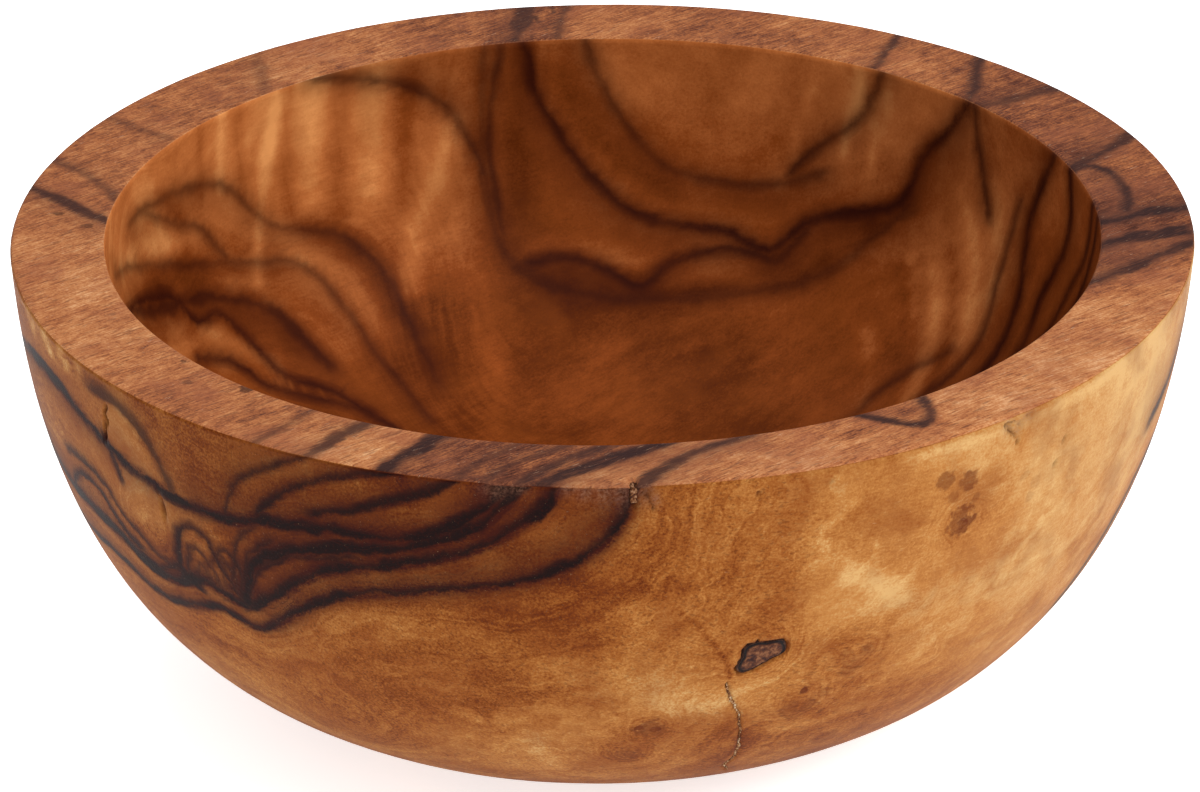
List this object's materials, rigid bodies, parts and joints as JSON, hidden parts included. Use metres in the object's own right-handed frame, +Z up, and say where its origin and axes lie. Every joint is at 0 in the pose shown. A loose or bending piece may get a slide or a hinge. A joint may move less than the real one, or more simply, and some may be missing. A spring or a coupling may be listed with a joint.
{
  "type": "turned wooden bowl",
  "caption": "Small thick-walled bowl turned from one block of olive wood, with a flat rim, a flat foot, a dead knot and two filled checks let into the wall.",
  "frame": {"origin": "centre of the flat foot, on the surface that the bowl stands on", "axes": "+Z up along the turning axis, -Y towards the side with the knot and its filled check"},
  "size_m": [0.1204, 0.1194, 0.0477],
  "materials": {
    "olive_wood": "sanded and lightly oiled, satin",
    "knot_wood": "dark dead branch wood, satin",
    "filler": "pale wood dust set in glue, matt and granular"
  },
  "bodies": {
    "root": {"bowl": "olive_wood", "encased_knot": "knot_wood", "check_filler": "filler", "rim_check_filler": "filler"}
  },
  "joints": []
}
